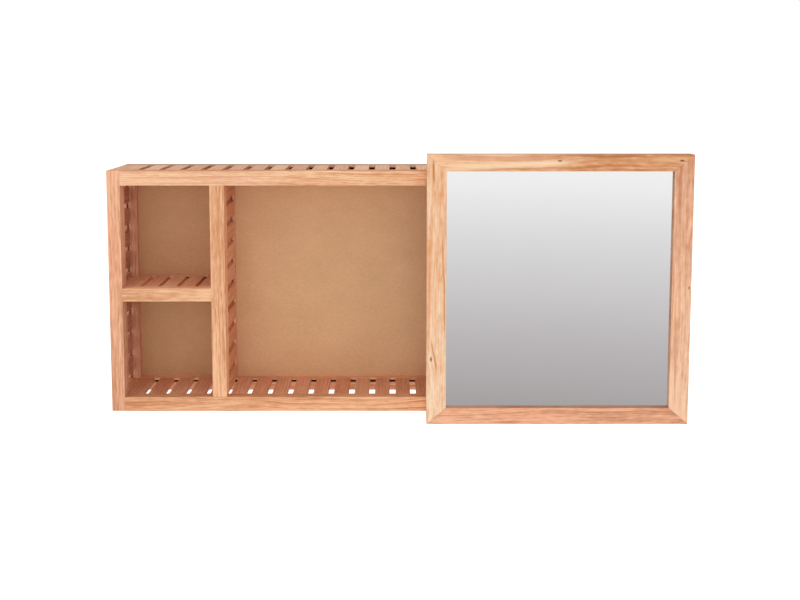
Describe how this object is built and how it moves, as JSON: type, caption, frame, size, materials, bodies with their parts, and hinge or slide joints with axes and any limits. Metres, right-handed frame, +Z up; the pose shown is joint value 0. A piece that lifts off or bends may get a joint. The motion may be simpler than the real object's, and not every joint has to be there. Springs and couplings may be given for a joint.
{
  "type": "wall mirror cabinet",
  "caption": "Wide shallow wall cabinet in slatted timber with open compartments and a square framed mirror door that slides along its front on rollers.",
  "frame": {"origin": "midpoint between the centres of the two round wall hanger holes, on the wall plane at the back of the cabinet", "axes": "+X along the cabinet to the viewer's right, +Y horizontally into the wall, +Z up"},
  "size_m": [0.9912, 0.146, 0.4624],
  "materials": {
    "frame_wood": "oiled hardwood with open grain",
    "slat_wood": "oiled hardwood slats",
    "inner_wood": "oiled hardwood",
    "door_wood": "oiled hardwood with open grain",
    "peg_wood": "plain beech",
    "panel_board": "smooth fibreboard",
    "backing_board": "hardboard",
    "mirror": "silvered float glass",
    "steel": "zinc plated",
    "nylon": "natural nylon",
    "rubber": "brown rubber"
  },
  "bodies": {
    "cabinet": {"top_front_rail": "frame_wood", "top_rear_rail": "inner_wood", "bottom_front_rail": "frame_wood", "bottom_rear_rail": "inner_wood", "left_front_stile": "frame_wood", "left_rear_stile": "inner_wood", "right_front_stile": "frame_wood", "right_rear_stile": "inner_wood", "left_side_rails": "inner_wood", "right_side_rails": "inner_wood", "top_slats": "slat_wood", "bottom_slats": "slat_wood", "left_side_slats": "slat_wood", "right_side_slats": "slat_wood", "left_divider_front_stile": "frame_wood", "left_divider_rear_stile": "inner_wood", "left_divider_slats": "slat_wood", "right_divider_front_stile": "frame_wood", "right_divider_rear_stile": "inner_wood", "right_divider_slats": "slat_wood", "left_shelf_front_rail": "frame_wood", "left_shelf_rear_rail": "inner_wood", "left_shelf_slats": "slat_wood", "right_shelf_front_rail": "frame_wood", "right_shelf_rear_rail": "inner_wood", "right_shelf_slats": "slat_wood", "back_panel": "panel_board", "corner_dowels": "peg_wood", "divider_pins": "peg_wood", "shelf_pins": "peg_wood", "hanger_plates": "steel", "hanger_screws": "steel", "track_stops": "rubber"},
    "door": {"door_top_rail": "door_wood", "door_bottom_rail": "door_wood", "door_left_stile": "door_wood", "door_right_stile": "door_wood", "door_splines": "peg_wood", "mirror_glass": "mirror", "mirror_backing": "backing_board", "bead_top": "door_wood", "bead_bottom": "door_wood", "bead_left": "door_wood", "bead_right": "door_wood", "left_roller_bracket": "steel", "right_roller_bracket": "steel", "left_roller_axle": "steel", "right_roller_axle": "steel", "bracket_screws": "steel", "left_door_guide": "nylon", "right_door_guide": "nylon", "guide_screws": "steel"},
    "roller_left": {"left_roller": "nylon"},
    "roller_right": {"right_roller": "nylon"}
  },
  "joints": [
    {"name": "door_slide", "type": "slide", "parent": "cabinet", "child": "door", "axis": [1, 0, 0], "range_m": [-0.562, 0]},
    {"name": "roller_left_spin", "type": "hinge", "parent": "door", "child": "roller_left", "pos_m": [0.131, -0.113, 0.02005], "axis": [0, 1, 0], "range_deg": [-3225, 5]},
    {"name": "roller_right_spin", "type": "hinge", "parent": "door", "child": "roller_right", "pos_m": [0.431, -0.113, 0.02005], "axis": [0, 1, 0], "range_deg": [-3225, 5]}
  ],
  "couplings": [
    {"joint": "roller_left_spin", "follows": "door_slide", "rad_per_m": 100},
    {"joint": "roller_right_spin", "follows": "door_slide", "rad_per_m": 100}
  ]
}
